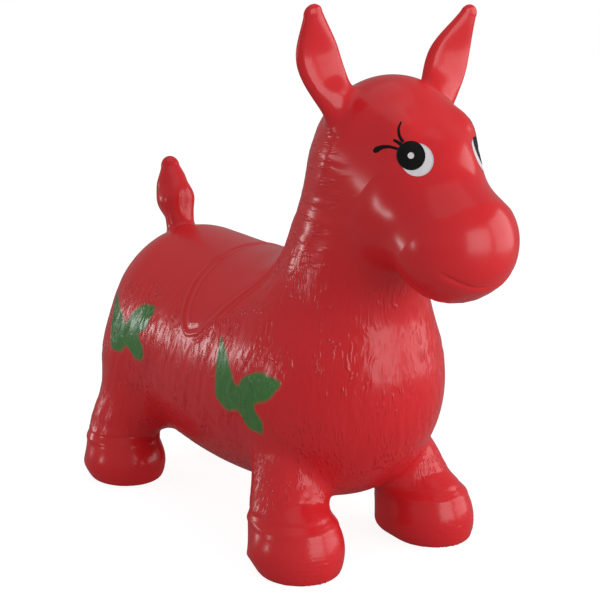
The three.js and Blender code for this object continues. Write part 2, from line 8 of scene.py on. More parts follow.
import bpy
import numpy as np
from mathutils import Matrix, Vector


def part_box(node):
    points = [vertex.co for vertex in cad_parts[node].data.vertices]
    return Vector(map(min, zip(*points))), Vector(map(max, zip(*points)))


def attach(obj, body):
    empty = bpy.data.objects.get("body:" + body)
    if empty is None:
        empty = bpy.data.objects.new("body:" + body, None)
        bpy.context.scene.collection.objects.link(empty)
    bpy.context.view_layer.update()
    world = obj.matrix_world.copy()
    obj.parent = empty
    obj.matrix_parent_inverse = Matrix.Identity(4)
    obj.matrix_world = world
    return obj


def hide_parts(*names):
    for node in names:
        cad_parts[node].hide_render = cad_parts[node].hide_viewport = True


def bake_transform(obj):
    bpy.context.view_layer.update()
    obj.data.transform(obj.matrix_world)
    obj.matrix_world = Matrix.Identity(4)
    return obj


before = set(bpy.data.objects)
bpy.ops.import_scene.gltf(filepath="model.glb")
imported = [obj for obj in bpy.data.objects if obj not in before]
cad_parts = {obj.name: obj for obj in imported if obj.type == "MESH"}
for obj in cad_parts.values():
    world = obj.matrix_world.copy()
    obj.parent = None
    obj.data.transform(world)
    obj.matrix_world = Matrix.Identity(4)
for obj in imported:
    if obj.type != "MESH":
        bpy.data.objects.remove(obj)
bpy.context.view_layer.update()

MM = 0.001

# Torso stations, in millimetres like every length but those of the lamps and the floor
CHEST_X = 108.0
RUMP_X = -142.0
SEAT_X = -16.0
RUMP_TOP = 284.0
RUMP_BOTTOM = 53.0
RUMP_WIDTH = 204.0
RUMP_DOME = 97.0
SEAT_HEIGHT = 278.0
BELLY_HEIGHT = 40.0
BARREL_WIDTH = 208.0
CHEST_TOP = 288.0
CHEST_BOTTOM = 49.0
CHEST_WIDTH = 210.0
CHEST_DOME = 114.0

# Hollow round the belly valve
DISH_DEPTH = 11.5
DISH_RADIUS = 30.0
DISH_DROP = 10.0  # the ball that presses the dish has its middle this far below the belly
DISH_EDGE = 8.0

# Legs
FRONT_HOOF_X = 158.0
REAR_HOOF_X = -179.0
HALF_TRACK = 82.0
HIP_Z = 118.0
HIP_WIDTH = 86.0
HIP_LENGTH = 96.0
FRONT_HIP_SLIM = 22.0  # the front hips are narrower and shorter than the rear ones by this
FRONT_STRIDE = 40.0
REAR_STRIDE = 20.0
SPLAY = 30.0
ANKLE_WIDTH = 73.0
ANKLE_LENGTH = 76.0
HOOF_HEIGHT = 50.0
HOOF_WIDTH = 88.0
HOOF_LENGTH = 96.0
SOLE_WIDTH = 62.0
SOLE_LENGTH = 72.0
SOLE_EDGE = 13.0
SOLE_SINK = 8.0  # the hoof runs on below the floor, which cuts its sole flat
SOLE_ROUND = 7.0
TOE = 4.0  # the widest part of the hoof is pushed forward by this
ANKLE_SET = 19.0  # the front ankles stand this far behind the middle of their hooves
FRONT_ANKLE_IN = 6.0
REAR_ANKLE_BACK = 3.0
FRONT_HOOF_BACK = 3.0
FRONT_HOOF_IN = 1.0
REAR_HOOF_BACK = 2.0
LEG_DOMES = (40.0, 20.0)
HOOF_DOMES = (10.0, 20.0)
THIGH = (-171.0, 56.0, 132.0)
THIGH_RADII = (49.0, 45.0, 58.0)
ANKLE_JOIN = 12.0
THIGH_JOIN = 30.0
PAIR_JOIN = 30.0  # blend between a leg and its mirror image
PAIR_REACH = 60.0  # they meet only this close to the middle

# Neck and head
NECK_FOOT = (126.0, 0.0, 225.0)
NECK_FOOT_SECTION = (146.0, 156.0)  # width and depth
NECK_TOP = (168.0, 0.0, 356.0)
NECK_TOP_SECTION = (122.0, 130.0)
NECK_DOMES = (50.0, 70.0)
CROWN = (194.0, 0.0, 396.5)
CROWN_SECTION = (136.0, 129.0)
FACE = (232.0, 0.0, 370.0)
FACE_SECTION = (108.0, 117.0)
HEAD_DOMES = (64.0, 51.0)
BRIDGE_SECTION = (88.0, 78.0)
MUZZLE = (281.0, 0.0, 322.0)
MUZZLE_SECTION = (114.0, 106.0)
MUZZLE_DOMES = (36.0, 53.0)
MUZZLE_JOIN = 27.0
BROW = (238.0, 31.0, 408.0)
BROW_RADII = (22.0, 17.0, 22.0)
BROW_JOIN = 26.0
JAW = (295.0, 0.0, 307.0)
JAW_RADII = (33.0, 39.0, 21.0)
JAW_JOIN = 16.0
CHEEK = (226.0, 27.0, 339.0)
CHEEK_RADII = (36.0, 27.0, 34.0)
CHEEK_JOIN = 38.0
MOUTH_Z = 288.0
MOUTH_RISE = 15.0
MOUTH_WIDTH = 84.0

# Ears and tail
EAR_ROOT = (189.0, 53.0, 430.0)
EAR_MIDDLE = (184.0, 76.5, 480.0)
EAR_TIP = (194.0, 88.0, 513.5)
EAR_ROOT_SECTION = (36.0, 23.0)
EAR_MIDDLE_SECTION = (44.0, 19.0)
EAR_TIP_SECTION = (19.0, 10.0)
EAR_DOMES = (14.0, 9.0)
EAR_VALLEY = 3.4  # depth of the hollow in the face of the ear
EAR_TURN = math.radians(2)
TAIL_STATIONS = [  # place, width and depth, from the root to the tip
    (-180.0, 0.0, 266.0, 27.0, 27.0),
    (-187.0, 0.0, 288.0, 33.0, 33.0),
    (-194.0, 0.0, 308.0, 42.0, 41.0),
    (-200.0, 0.0, 328.0, 34.0, 33.0),
    (-204.0, 0.0, 343.0, 21.0, 21.0),
]
TAIL_DOME = 12.0
TAIL_LOCKS = 3
TAIL_LOCK_HEIGHT = 1.1
TAIL_TWIST = 5.5  # radians from root to tip
TAIL_RIPPLE = 0.5
TAIL_RIPPLE_TURN = 15.0

# Saddle
SADDLE_X = 16.0
SADDLE_LENGTH = 138.0
SADDLE_WIDTH = 280.0  # measured over the back, round both flanks
SADDLE_ARC = 110.0  # mean radius of the barrel
SADDLE_RISE = (140.0, 170.0)  # the saddle fades in between these heights

# Moulded lines: height, place beside the line that they follow, half width
SADDLE_RIDGE = (1.0, 0.0, 3.2)
SADDLE_GROOVE = (-0.35, -5.0, 4.0)
SADDLE_INNER_RIDGE = (0.5, -11.0, 2.8)
SADDLE_FRONT_RIDGE = (1.0, 7.5, 3.2)
SADDLE_FRONT_GROOVE = (-0.4, 3.8, 2.0)
MOUTH_GROOVE = (-1.5, 0.0, 2.4)
LIP = (0.5, -5.0, 5.0)
CUFF = (0.9, -3.5, 5.0)
CUFF_GROOVE = (-0.5, 4.0, 3.0)

# Eyes
EYE = (269.0, 40.0, 397.0)
EYE_TURN = math.radians(35)
EYE_WHITE_RADII = (13.9, 13.5)
EYE_WHITE_SET = (5.2, -3.4)
PUPIL_RADIUS = 12.0
GLINT_RADIUS = 2.7
FILM_DEPTH = 0.4  # how far a film of paint reaches into the skin

# Spots
SPOT_WIDTH = 98.0
SPOT_HEIGHT = 80.0
SHOULDER_SPOT = (104.0, 168.0)
FLANK_SPOT = (-121.0, 187.0)
FLANK_SCALE = 0.94
FLANK_TURN = math.radians(14)
SPOT_EDGE = 2.2  # half width of the sprayed edge
SPOT_RAGGED = 1.8

# Moulded fur
FUR_HEIGHT = 0.36
FUR_WIDTH = 5.5
FUR_LENGTH = 34.0
FUR_WAVE = 6.0
FUR_LEAN = math.tan(math.radians(22))  # strokes on the flanks lean forward at the top
NECK_FUR_GAIN = 0.3
NECK_FUR_RISE = (276.0, 312.0)  # above this the strokes run level round the neck
RUMP_FUR = (-215.0, -165.0)  # and behind this they run level round the rump

GRID = 3.0  # spacing of the field's samples
GRID_LOW = (-264.0, 0.0, -9.0)
GRID_COUNT = (205, 43, 181)
SEED = 7

# Camera and lamps: degrees, metres and watts, apart from the camera's place in millimetres
CAMERA_PLACE = (1167.3, -790.5, 517.3)
CAMERA_DOWN = 11.8
CAMERA_ROUND = 54.7
CAMERA_LENS = 83.4
LAMP_AIM = 0.25
LAMPS = [  # name, azimuth, elevation, distance, size, power
    ("near_pane", -20, -1, 2.2, (0.18, 0.34), 2.0),
    ("left_pane", -58, -1, 2.2, (0.22, 0.36), 2.2),
    ("front_wall", 98, 10, 2.0, (1.3, 1.1), 12),
    ("right_wall", 146, 12, 2.0, (1.6, 1.4), 14),
    ("top_sheet", 0, 88, 1.9, (2.0, 2.0), 4),
]
WORLD_STRENGTH = (0.55, 1.0, 0.26)  # for most rays, rays from the camera and mirrored rays
FLOOR_STRENGTH = (0.22, 0.9, 0.03)
FLOOR_REACH = 12.0

hoof_low, hoof_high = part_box("front_left_hoof")
SHIFT = (hoof_low.x + hoof_high.x) / 2 / MM - FRONT_HOOF_X


def metres(points):
    """Places in the frame, from places in millimetres along the stations."""
    return (np.asarray(points, float) + (SHIFT, 0, 0)) * MM


# Fields


def smooth_min(a, b, reach):
    h = np.maximum(reach - np.abs(a - b), 0) / reach
    return np.minimum(a, b) - h ** 3 * reach / 6


def smooth_max(a, b, reach):
    return -smooth_min(-a, -b, reach)


def step(low, high, values):
    """0 below low, 1 above high, smooth between."""
    t = np.clip((values - low) / (high - low), 0, 1)
    return t * t * (3 - 2 * t)


def curve_through(rows, samples):
    """Rows of numbers as a smooth curve, sampled evenly along its first three columns."""
    rows = np.asarray(rows, float)
    at = np.concatenate([[0], np.cumsum(np.linalg.norm(np.diff(rows[:, :3], axis=0), axis=1))])
    slopes = np.gradient(rows, at, axis=0)
    u = np.linspace(0, at[-1], samples)
    i = np.clip(np.searchsorted(at, u, side="right") - 1, 0, len(at) - 2)
    span = (at[i + 1] - at[i])[:, None]
    t = ((u - at[i]) / span[:, 0])[:, None]
    return (
        (2 * t ** 3 - 3 * t ** 2 + 1) * rows[i]
        + (t ** 3 - 2 * t ** 2 + t) * span * slopes[i]
        + (3 * t ** 2 - 2 * t ** 3) * rows[i + 1]
        + (t ** 3 - t ** 2) * span * slopes[i + 1]
    )


class Swell:
    """A swelling tube: elliptical sections along a smooth spine, with rounded ends.

    A station is (x, y, z, width along the side axis, depth across it).
    """

    def __init__(self, stations, start, end, side=(0, 1, 0), samples=48):
        rows = curve_through(stations, samples)
        self.centre = rows[:, :3]
        self.half = rows[:, 3:5] / 2
        tangent = np.gradient(self.centre, axis=0)
        self.step = np.linalg.norm(self.centre[1] - self.centre[0])
        self.tangent = tangent / np.linalg.norm(tangent, axis=1, keepdims=True)
        across = np.asarray(side, float) - self.tangent * (self.tangent @ np.asarray(side, float))[:, None]
        self.across = across / np.linalg.norm(across, axis=1, keepdims=True)
        self.out = np.cross(self.tangent, self.across)
        self.start = start
        self.end = end

    def local(self, points):
        """Share along the spine, and offsets across, out and past the ends."""
        last = len(self.centre) - 1
        near = np.argmin((self.centre ** 2).sum(1) - 2 * points @ self.centre.T, axis=1)
        along = ((points - self.centre[near]) * self.tangent[near]).sum(1) / self.step
        place = np.clip(near + along, 0, last)
        low = np.minimum(place.astype(int), last - 1)
        t = (place - low)[:, None]

        def at(rows):
            return rows[low] * (1 - t) + rows[low + 1] * t

        offset = points - at(self.centre)
        beyond = (near + along - place) * self.step
        half = at(self.half)
        return place / last, (offset * at(self.across)).sum(1), (offset * at(self.out)).sum(1), beyond, half

    def distance(self, points):
        _, across, out, beyond, half = self.local(points)
        dome = np.where(beyond < 0, self.start, self.end)
        a, b = half[:, 0], half[:, 1]
        level = np.sqrt((across / a) ** 2 + (out / b) ** 2 + (beyond / dome) ** 2)
        slope = np.sqrt((across / a ** 2) ** 2 + (out / b ** 2) ** 2 + (beyond / dome ** 2) ** 2)
        return np.where(slope > 1e-9, level * (level - 1) / np.maximum(slope, 1e-9), -np.minimum(a, b))


def ball(points, place, radii):
    """An ellipsoid along the axes."""
    scaled = (points - place) / radii
    level = np.linalg.norm(scaled, axis=1)
    slope = np.linalg.norm(scaled / radii, axis=1)
    return level * (level - 1) / np.maximum(slope, 1e-9)


torso = Swell(
    [
        (RUMP_X, 0, (RUMP_TOP + RUMP_BOTTOM) / 2, RUMP_WIDTH, RUMP_TOP - RUMP_BOTTOM),
        (SEAT_X, 0, (SEAT_HEIGHT + BELLY_HEIGHT) / 2, BARREL_WIDTH, SEAT_HEIGHT - BELLY_HEIGHT),
        (CHEST_X, 0, (CHEST_TOP + CHEST_BOTTOM) / 2, CHEST_WIDTH, CHEST_TOP - CHEST_BOTTOM),
    ],
    start=RUMP_DOME,
    end=CHEST_DOME,
)
neck = Swell([(*NECK_FOOT, *NECK_FOOT_SECTION), (*NECK_TOP, *NECK_TOP_SECTION)], *NECK_DOMES)
head = Swell([(*CROWN, *CROWN_SECTION), (*FACE, *FACE_SECTION)], *HEAD_DOMES)
muzzle = Swell([(*FACE, *BRIDGE_SECTION), (*MUZZLE, *MUZZLE_SECTION)], *MUZZLE_DOMES)


def leg_form(ankle, hip, hip_width, hip_length):
    stations = [
        (*hip, HIP_Z, hip_width, hip_length),
        (*ankle, HOOF_HEIGHT, ANKLE_WIDTH, ANKLE_LENGTH),
        (*ankle, SOLE_EDGE, ANKLE_WIDTH, ANKLE_LENGTH),
    ]
    return Swell(stations, *LEG_DOMES)


def hoof_form(hoof_x, half_track, ankle):
    stations = [
        (*ankle, HOOF_HEIGHT, ANKLE_WIDTH, ANKLE_LENGTH),
        (hoof_x + TOE, half_track, SOLE_EDGE, HOOF_WIDTH, HOOF_LENGTH),
        (hoof_x, half_track, -SOLE_SINK, SOLE_WIDTH, SOLE_LENGTH),
    ]
    return Swell(stations, *HOOF_DOMES)


FRONT_ANKLE = (FRONT_HOOF_X - ANKLE_SET, HALF_TRACK - FRONT_ANKLE_IN)
FRONT_HIP = (FRONT_ANKLE[0] - FRONT_STRIDE, FRONT_ANKLE[1] - SPLAY)
REAR_ANKLE = (REAR_HOOF_X - REAR_ANKLE_BACK, HALF_TRACK)
REAR_HIP = (REAR_HOOF_X + REAR_STRIDE, HALF_TRACK - SPLAY)
LEGS = {
    "front": (
        leg_form(FRONT_ANKLE, FRONT_HIP, HIP_WIDTH - FRONT_HIP_SLIM, HIP_LENGTH - FRONT_HIP_SLIM),
        hoof_form(FRONT_HOOF_X - FRONT_HOOF_BACK, HALF_TRACK - FRONT_HOOF_IN, FRONT_ANKLE),
    ),
    "rear": (
        leg_form(REAR_ANKLE, REAR_HIP, HIP_WIDTH, HIP_LENGTH),
        hoof_form(REAR_HOOF_X - REAR_HOOF_BACK, HALF_TRACK, REAR_ANKLE),
    ),
}

ear_side = (math.sin(EAR_TURN), math.cos(EAR_TURN), 0)
ear_front = np.array((math.cos(EAR_TURN), -math.sin(EAR_TURN), 0))
ear = Swell(
    [(*EAR_ROOT, *EAR_ROOT_SECTION), (*EAR_MIDDLE, *EAR_MIDDLE_SECTION), (*EAR_TIP, *EAR_TIP_SECTION)],
    *EAR_DOMES,
    side=ear_side,
)
tail = Swell(TAIL_STATIONS, TAIL_DOME, TAIL_DOME)


def ear_field(points):
    share, across, out, _, half = ear.local(points)
    whole = ear.distance(points)
    # The face of the ear is a shallow valley that ends before the root and the tip.
    depth = EAR_VALLEY * step(0.16, 0.4, share) * (1 - step(0.5, 0.95, share))
    ahead = (out * np.sign(ear.out[0] @ ear_front)) / half[:, 1]
    side = np.clip(1 - (across / (half[:, 0] * 0.82)) ** 2, 0, 1)
    return whole + depth * side * step(0.0, 0.7, ahead)


def tail_field(points):
    share, across, out, _, _ = tail.local(points)
    around = np.arctan2(out, across)
    locks = TAIL_LOCK_HEIGHT * np.cos(around * TAIL_LOCKS + share * TAIL_TWIST)
    ripples = TAIL_RIPPLE * np.sin(share * TAIL_RIPPLE_TURN + around)
    # The root and the tip are smooth.
    between = step(0.12, 0.35, share) * (1 - step(0.7, 0.92, share))
    return tail.distance(points) - (locks + ripples) * between


def leg_field(points, name):
    leg, hoof = LEGS[name]
    whole = smooth_min(leg.distance(points), hoof.distance(points), ANKLE_JOIN)
    if name == "rear":
        whole = smooth_min(whole, ball(points, THIGH, THIGH_RADII), THIGH_JOIN)
    return whole


def legs_field(points, name):
    """The leg on the horse's left, joined over the middle to its mirror image."""
    near = leg_field(points, name)
    middle = np.abs(points[:, 1]) < PAIR_REACH
    if middle.any():
        across = points[middle] * (1, -1, 1)
        near[middle] = smooth_min(near[middle], leg_field(across, name), PAIR_JOIN)
    return near


def head_field(points):
    skull = smooth_min(head.distance(points), ball(points, BROW, BROW_RADII), BROW_JOIN)
    face = smooth_min(skull, muzzle.distance(points), MUZZLE_JOIN)
    face = smooth_min(face, ball(points, JAW, JAW_RADII), JAW_JOIN)
    return smooth_min(face, ball(points, CHEEK, CHEEK_RADII), CHEEK_JOIN)


ZONES = ("torso", "neck", "head", "front", "rear", "ear", "tail")
FIELDS = {
    "torso": torso.distance,
    "neck": neck.distance,
    "head": head_field,
    "front": lambda p: legs_field(p, "front"),
    "rear": lambda p: legs_field(p, "rear"),
    "ear": ear_field,
    "tail": tail_field,
}
# Lengths over which each zone blends into the ones before it
JOIN = {"neck": 40, "head": 48, "front": 25, "rear": 38, "ear": 15, "tail": 17}
FAR = 90.0  # a zone further away than this has no say
MARGIN = 30.0
CHUNK = 60000  # places worked out at a time
# Box round each zone on the horse's left, outside which it isn't worked out
ROOM = {
    "torso": ((-260, 0, 30), (240, 125, 310)),
    "neck": ((20, 0, 130), (270, 110, 450)),
    "head": ((100, 0, 230), (350, 110, 480)),
    "front": ((60, 0, -20), (230, 150, 200)),
    "rear": ((-250, 0, -20), (-90, 150, 200)),
    "ear": ((150, 20, 395), (225, 120, 535)),
    "tail": ((-240, 0, 240), (-150, 40, 375)),
}


def zone_fields(points):
    """Distance to each zone, for places mirrored to the horse's left."""
    points = points.copy()
    points[:, 1] = np.abs(points[:, 1])
    found = {}
    for zone in ZONES:
        low, high = ROOM[zone]
        inside = ((points > np.array(low) - MARGIN) & (points < np.array(high) + MARGIN)).all(1)
        values = np.full(len(points), FAR)
        for part in np.array_split(np.nonzero(inside)[0], max(1, inside.sum() // CHUNK)):
            if len(part):
                values[part] = np.minimum(FIELDS[zone](points[part]), FAR)
        found[zone] = values
    return found


def joined(found, points):
    """The zones as one skin, with the valve's dish pressed in and the soles cut flat at the floor."""
    whole = found["torso"]
    for zone, reach in JOIN.items():
        whole = smooth_min(whole, found[zone], reach)
    dish_radii = (DISH_RADIUS, DISH_RADIUS, DISH_DEPTH + DISH_DROP)
    dish = ball(points, (SEAT_X, 0, BELLY_HEIGHT - DISH_DROP), dish_radii)
    whole = smooth_max(whole, -dish, DISH_EDGE)
    return smooth_max(whole, -points[:, 2], SOLE_ROUND)


def field(points):
    return joined(zone_fields(points), points)


# Mesh of the field


def surface_mesh():
    """Vertices and quads where the field is zero: one vertex in each crossed cell."""
    low = np.array(GRID_LOW)
    count = np.array(GRID_COUNT)
    axes = [low[k] + GRID * np.arange(count[k]) for k in range(3)]
    axes[1] = axes[1] + GRID / 2
    places = np.stack(np.meshgrid(*axes, indexing="ij"), -1).reshape(-1, 3)
    half = field(places).reshape(count)
    values = np.concatenate([half[:, ::-1], half], axis=1)
    origin = low + (0, GRID / 2 - GRID * count[1], 0)
    inside = values < 0
    total = np.zeros(np.array(values.shape) - 1)
    sums = np.zeros(total.shape + (3,))
    edges = []
    for axis in range(3):
        a = [slice(None)] * 3
        b = [slice(None)] * 3
        a[axis] = slice(None, -1)
        b[axis] = slice(1, None)
        first, second = values[tuple(a)], values[tuple(b)]
        crossed = np.argwhere(inside[tuple(a)] != inside[tuple(b)])
        at = tuple(crossed.T)
        share = first[at] / (first[at] - second[at])
        points = crossed.astype(float)
        points[:, axis] += share
        edges.append((axis, crossed, inside[tuple(a)][at]))
        others = [k for k in range(3) if k != axis]
        for i in (0, -1):
            for j in (0, -1):
                cell = crossed.copy()
                cell[:, others[0]] += i
                cell[:, others[1]] += j
                np.add.at(total, tuple(cell.T), 1)
                np.add.at(sums, tuple(cell.T), points)
    number = np.full(total.shape, -1)
    used = total > 0
    number[used] = np.arange(used.sum())
    verts = sums[used] / total[used][:, None] * GRID + origin
    quads = []
    for axis, crossed, outward in edges:
        others = [k for k in range(3) if k != axis]
        ring = []
        for i, j in ((-1, -1), (0, -1), (0, 0), (-1, 0)):
            cell = crossed.copy()
            cell[:, others[0]] += i
            cell[:, others[1]] += j
            ring.append(number[tuple(cell.T)])
        quad = np.stack(ring, 1)
        turn = outward if axis != 1 else ~outward
        quad[~turn] = quad[~turn][:, ::-1]
        quads.append(quad)
    return verts, np.concatenate(quads)


def subdivided(verts, quads):
    """Each quad as four, with the new corners on its edges and its middle."""
    n = len(verts)
    ends = np.sort(np.stack([quads, np.roll(quads, -1, 1)], -1).reshape(-1, 2), 1)
    unique, which = np.unique(ends[:, 0] * n + ends[:, 1], return_inverse=True)
    middles = (verts[unique // n] + verts[unique % n]) / 2
    side = n + which.reshape(-1, 4)
    centre = n + len(unique) + np.arange(len(quads))
    verts = np.concatenate([verts, middles, verts[quads].mean(1)])
    fine = [
        np.stack([quads[:, k], side[:, k], centre, side[:, k - 1]], 1)
        for k in range(4)
    ]
    return verts, np.concatenate(fine)


def gradient(points, here):
    """Direction out of the skin."""
    reach = 0.25
    slope = np.stack([field(points + reach * np.eye(3)[k]) - here for k in range(3)], 1)
    return slope / reach


def onto_skin(verts, rounds, longest=1.5):
    """Vertices moved to where the field is zero, by a longest step in each round."""
    for _ in range(rounds):
        here = field(verts)
        slope = gradient(verts, here)
        size = np.maximum((slope ** 2).sum(1), 0.05)
        move = -(here / size)[:, None] * slope
        length = np.linalg.norm(move, axis=1, keepdims=True)
        verts = verts + move * np.minimum(1, longest / np.maximum(length, 1e-9))
    return verts


def relaxed(verts, quads):
    """Each vertex halfway to the middle of its quads, which evens the mesh out."""
    count = np.bincount(quads.ravel(), minlength=len(verts))[:, None]
    middle = verts[quads].mean(1)
    pulled = np.zeros_like(verts)
    for k in range(4):
        for axis in range(3):
            pulled[:, axis] += np.bincount(quads[:, k], middle[:, axis], len(verts))
    return (verts + pulled / count) / 2


def vertex_normals(verts, quads):
    a = verts[quads[:, 2]] - verts[quads[:, 0]]
    b = verts[quads[:, 3]] - verts[quads[:, 1]]
    face = np.cross(a, b)
    total = np.zeros_like(verts)
    for k in range(4):
        for axis in range(3):
            total[:, axis] += np.bincount(quads[:, k], face[:, axis], len(verts))
    return total / np.maximum(np.linalg.norm(total, axis=1, keepdims=True), 1e-12)


# Relief


def lattice_noise(points, scale, seed):
    """Smooth noise from -1 to 1, with features about the size of scale, which may differ by axis."""
    rng = np.random.default_rng(seed)
    table = rng.uniform(-1, 1, 4096)
    q = points / scale
    base = np.floor(q).astype(int)
    t = q - base
    t = t * t * (3 - 2 * t)
    total = np.zeros(len(points))
    for corner in np.ndindex(2, 2, 2):
        cell = base + corner
        pick = (cell[:, 0] * 1619 + cell[:, 1] * 31337 + cell[:, 2] * 6971) % 4096
        weight = np.prod(np.where(np.array(corner) == 1, t, 1 - t), axis=1)
        total += table[pick] * weight
    return total


def outline_distance(points, outline):
    """Signed distance to a closed outline, negative inside."""
    best = np.full(len(points), 1e9)
    inside = np.zeros(len(points), bool)
    for a, b in zip(outline, np.roll(outline, -1, axis=0)):
        edge = b - a
        t = np.clip(((points - a) @ edge) / (edge @ edge), 0, 1)
        best = np.minimum(best, np.linalg.norm(points - a - t[:, None] * edge, axis=1))
        rising = (a[1] > points[:, 1]) != (b[1] > points[:, 1])
        slope = edge[0] / (edge[1] if edge[1] else 1e-9)
        inside ^= rising & (points[:, 0] < a[0] + (points[:, 1] - a[1]) * slope)
    return np.where(inside, -best, best)


def closed_curve(shares, width, height, steps=8):
    """A smooth closed outline through points given as shares of a width and a height."""
    corners = np.array(shares) * (width, height)
    rows = []
    for k in range(len(corners)):
        p = [corners[(k + i) % len(corners)] for i in (-1, 0, 1, 2)]
        for t in np.arange(steps) / steps:
            rows.append(
                p[1] + t / 2 * (p[2] - p[0]) + t ** 2 * (p[0] - 2.5 * p[1] + 2 * p[2] - p[3] / 2)
                + t ** 3 * (1.5 * (p[1] - p[2]) + (p[3] - p[0]) / 2)
            )
    return np.array(rows)


# Outlines as shares of their length or width and their width or height
saddle_half = [
    (-0.37, 0.2), (-0.35, 0.33), (-0.29, 0.43), (-0.19, 0.48),
    (-0.08, 0.475), (0.02, 0.45), (0.3, 0.31), (0.54, 0.17),
]
saddle_shape = [(-0.36, 0)] + saddle_half + [(0.6, 0)] + [(x, -y) for x, y in saddle_half[::-1]]
butterfly = [
    (-0.46, 0.5), (-0.28, 0.3), (-0.1, 0.03), (0.04, 0.16), (0.26, 0.26), (0.5, 0.2), (0.4, -0.02),
    (0.2, -0.16), (0.27, -0.34), (0.22, -0.49), (0.02, -0.48), (-0.12, -0.3), (-0.32, -0.37),
    (-0.48, -0.24), (-0.47, 0.04), (-0.49, 0.28),
]


def bump(values, middle, half):
    """1 at the middle, falling smoothly to 0 at half either side."""
    return 1 - step(0, half, np.abs(values - middle))


def moulded(values, line):
    """A raised or sunken line, where values say how far each place lies beside it."""
    height, middle, half = line
    return height * bump(values, middle, half)


def saddle_rim(verts):
    """Signed distance to the saddle's edge, measured over the curve of the back."""
    x, y, z = verts.T
    middle = (SEAT_HEIGHT + BELLY_HEIGHT) / 2
    turn = np.arctan2(y / BARREL_WIDTH, (z - middle) / (SEAT_HEIGHT - BELLY_HEIGHT))
    flat = np.stack([x - SADDLE_X, turn * SADDLE_ARC], 1)
    return outline_distance(flat, closed_curve(saddle_shape, SADDLE_LENGTH, SADDLE_WIDTH))


def relief(verts, found):
    """How far each place stands off the smooth skin: saddle lines, lips, cuffs and soft unevenness."""
    x, y, z = verts.T
    height = 0.35 * lattice_noise(verts, 46.0, SEED) + 0.12 * lattice_noise(verts, 17.0, SEED + 1)
    on_top = step(*SADDLE_RISE, z) * step(-26, -12, found["neck"])
    rim = saddle_rim(verts)
    height += on_top * (moulded(rim, SADDLE_RIDGE) + moulded(rim, SADDLE_GROOVE))
    height += on_top * (1 - step(0, 30, x)) * moulded(rim, SADDLE_INNER_RIDGE)
    height += on_top * step(0, 24, x) * (moulded(rim, SADDLE_FRONT_RIDGE) + moulded(rim, SADDLE_FRONT_GROOVE))
    aside = 2 * y / MOUTH_WIDTH
    front = step(284, 300, x) * (1 - step(0.9, 1.08, np.abs(aside)))
    over_smile = z - (MOUTH_Z + MOUTH_RISE * aside ** 2)
    height += front * (moulded(over_smile, MOUTH_GROOVE) + moulded(over_smile, LIP))
    foot = (found["front"] < 12) | (found["rear"] < 12)
    height += foot * (moulded(z - HOOF_HEIGHT, CUFF) + moulded(z - HOOF_HEIGHT, CUFF_GROOVE))
    return height


def fur_amount(verts, found, up):
    """Where the moulded fur shows: on the body, neck and legs, not on the face, ears, saddle or hooves."""
    x, _, z = verts.T
    saddle = step(*SADDLE_RISE, z) * (1 - step(0, 9, saddle_rim(verts)))
    face = step(206, 226, x + 0.35 * (z - 380)) * step(-10, 0, z - 300)
    body = step(HOOF_HEIGHT + 3, HOOF_HEIGHT + 16, z) * (1 - saddle) * (1 - face)
    up_neck = (z - NECK_FOOT[2]) / (NECK_TOP[2] - NECK_FOOT[2])
    spine = NECK_FOOT[0] + (NECK_TOP[0] - NECK_FOOT[0]) * up_neck
    throat = step(268, 296, z) * step(6, 42, x - spine)
    body = body * (1 - 0.85 * throat) * (1 - 0.92 * step(0.42, 0.7, up))
    return body * step(1, 8, found["ear"]) * step(0, 6, found["tail"])


def fur_strokes(verts, level):
    """Wavy strokes from -1 to 1: upright on the body, level round the neck and behind the rump."""
    waves = np.stack([lattice_noise(verts, 30.0, SEED + k) for k in (11, 12, 13)], 1)
    bent = verts + FUR_WAVE * waves
    leant = bent - np.outer(bent[:, 2], (FUR_LEAN, 0, 0))
    upright = lattice_noise(leant, np.array((FUR_WIDTH, FUR_WIDTH, FUR_LENGTH)), SEED + 14)
    flat = lattice_noise(bent, np.array((FUR_LENGTH, FUR_LENGTH, FUR_WIDTH)), SEED + 15)
    return upright * (1 - level) + flat * level


def spot_amount(verts):
    """How much sprayed green covers each place."""
    x, y, z = verts.T
    edge = SPOT_RAGGED * lattice_noise(verts, 9.0, SEED + 5)
    shoulder = outline_distance(
        np.stack([x - SHOULDER_SPOT[0], z - SHOULDER_SPOT[1]], 1),
        closed_curve(butterfly, SPOT_WIDTH, SPOT_HEIGHT),
    )
    along, up = x - FLANK_SPOT[0], z - FLANK_SPOT[1]
    turned_along = along * math.cos(FLANK_TURN) + up * math.sin(FLANK_TURN)
    turned_up = up * math.cos(FLANK_TURN) - along * math.sin(FLANK_TURN)
    flank = outline_distance(
        np.stack([turned_along, turned_up], 1),
        closed_curve(butterfly, SPOT_WIDTH * FLANK_SCALE, SPOT_HEIGHT * FLANK_SCALE),
    )
    low = np.minimum(shoulder, flank) + edge
    return (1 - step(-SPOT_EDGE, SPOT_EDGE, low)) * step(60, 75, np.abs(y))


# Materials


def new_material(name, **sockets):
    """A material and its shader, with the given sockets of the shader set."""
    material = bpy.data.materials.new(name)
    material.use_nodes = True
    shader = material.node_tree.nodes["Principled BSDF"]
    for socket, value in sockets.items():
        shader.inputs[socket.replace("_", " ")].default_value = value
    return material, shader


def add_node(holder, kind, settings=None, **inputs):
    """A node in a material or world, with its inputs by name or, after an underscore, by number."""
    node = holder.node_tree.nodes.new(kind)
    for key, value in (settings or {}).items():
        setattr(node, key, value)
    for key, value in inputs.items():
        socket = node.inputs[int(key[1:])] if key[0] == "_" else node.inputs[key.replace("_", " ")]
        if isinstance(value, bpy.types.NodeSocket):
            holder.node_tree.links.new(value, socket)
        else:
            socket.default_value = value
    return node


def attribute(material, name):
    return add_node(material, "ShaderNodeAttribute", {"attribute_name": name})


